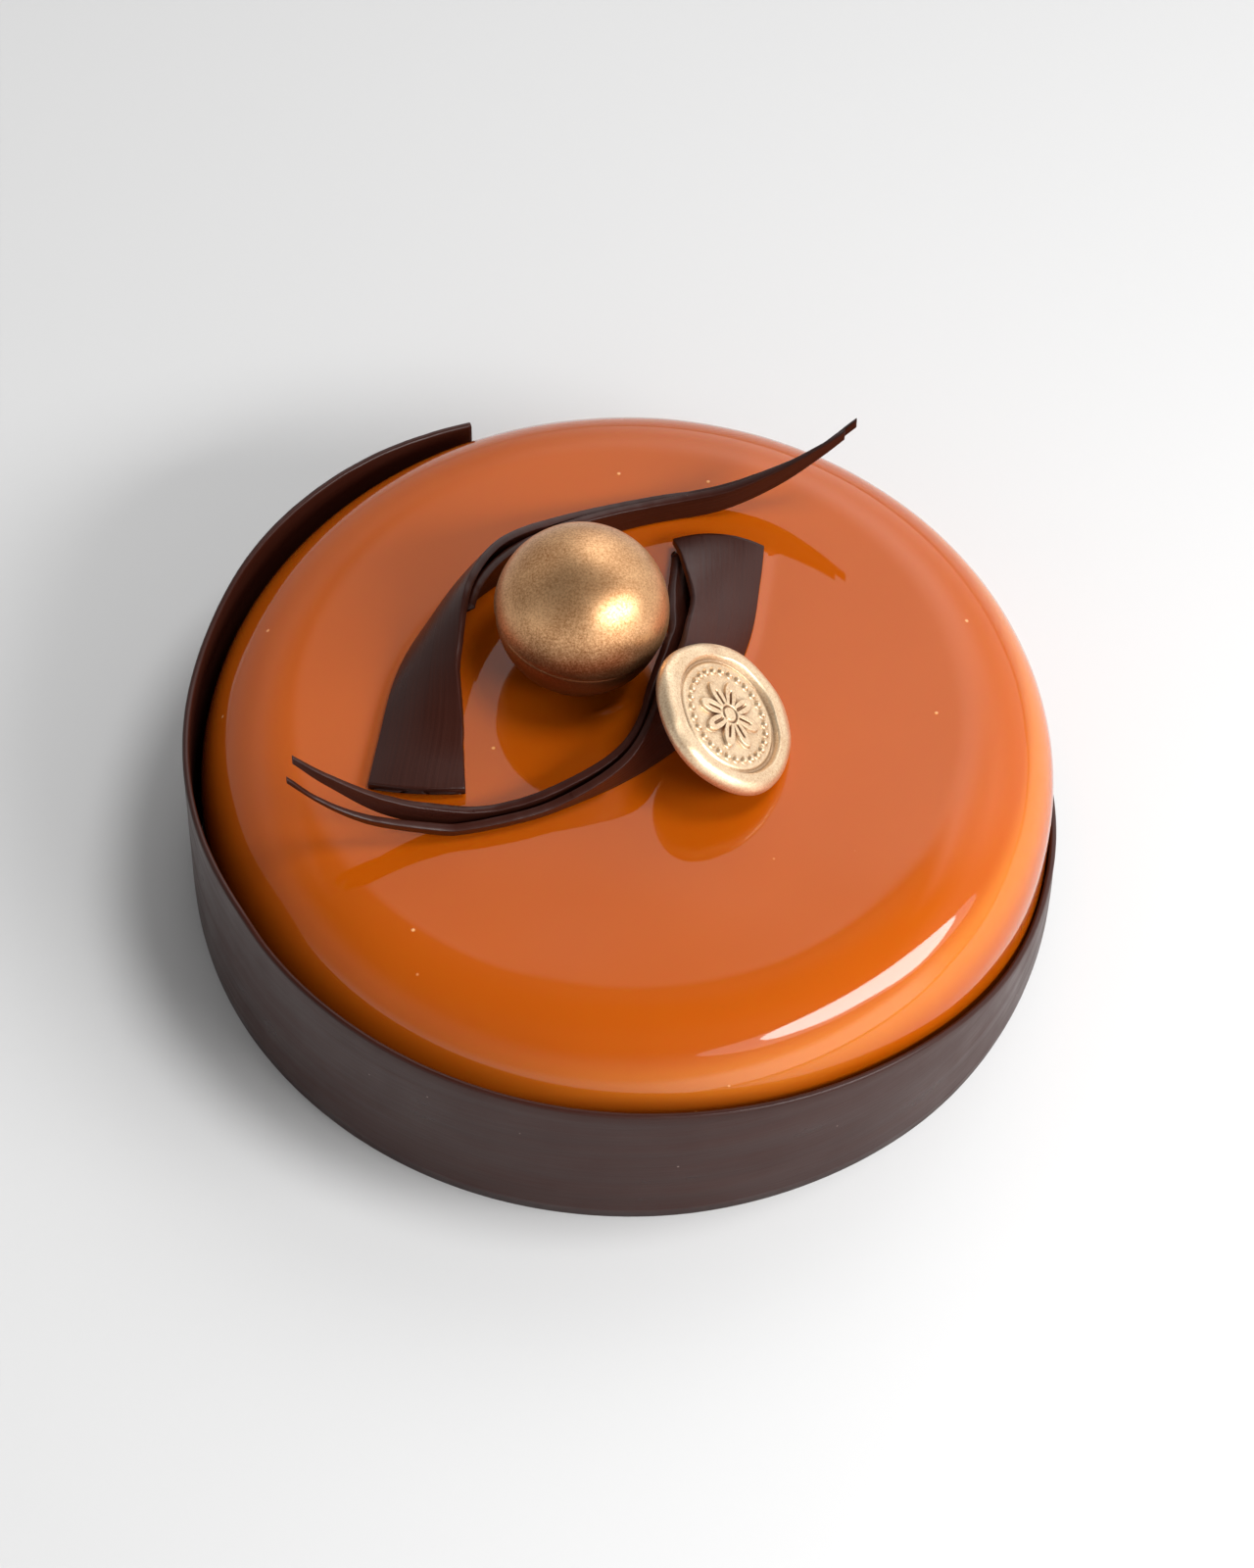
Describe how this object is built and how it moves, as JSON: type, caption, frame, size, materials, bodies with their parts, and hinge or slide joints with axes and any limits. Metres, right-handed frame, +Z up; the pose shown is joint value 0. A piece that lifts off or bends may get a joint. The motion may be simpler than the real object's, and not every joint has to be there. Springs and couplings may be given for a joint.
{
  "type": "glazed chocolate caramel cake",
  "caption": "Round mirror-glazed caramel cake in a wavy dark chocolate collar, topped with a gold sphere, a leaning gold seal and nested chocolate curls.",
  "frame": {"origin": "centre of the base on the surface that the cake stands on", "axes": "+Z up, -Y towards the open part of the top in front of the front curl, +X towards the side where the collar is low"},
  "size_m": [0.2026, 0.2006, 0.0933],
  "materials": {
    "caramel_glaze": "mirror glaze, wet gloss",
    "dark_chocolate": "tempered dark chocolate, satin",
    "gold_lustre": "gold lustre dust on chocolate, satin metallic",
    "pale_gold_lustre": "pale gold lustre dust on chocolate, satin metallic"
  },
  "bodies": {
    "root": {"glazed_cake": "caramel_glaze", "chocolate_collar": "dark_chocolate", "gold_sphere": "gold_lustre", "gold_seal": "pale_gold_lustre", "curl_back_inner": "dark_chocolate", "curl_back_outer": "dark_chocolate", "curl_front_inner": "dark_chocolate", "curl_front_outer": "dark_chocolate"}
  },
  "joints": []
}
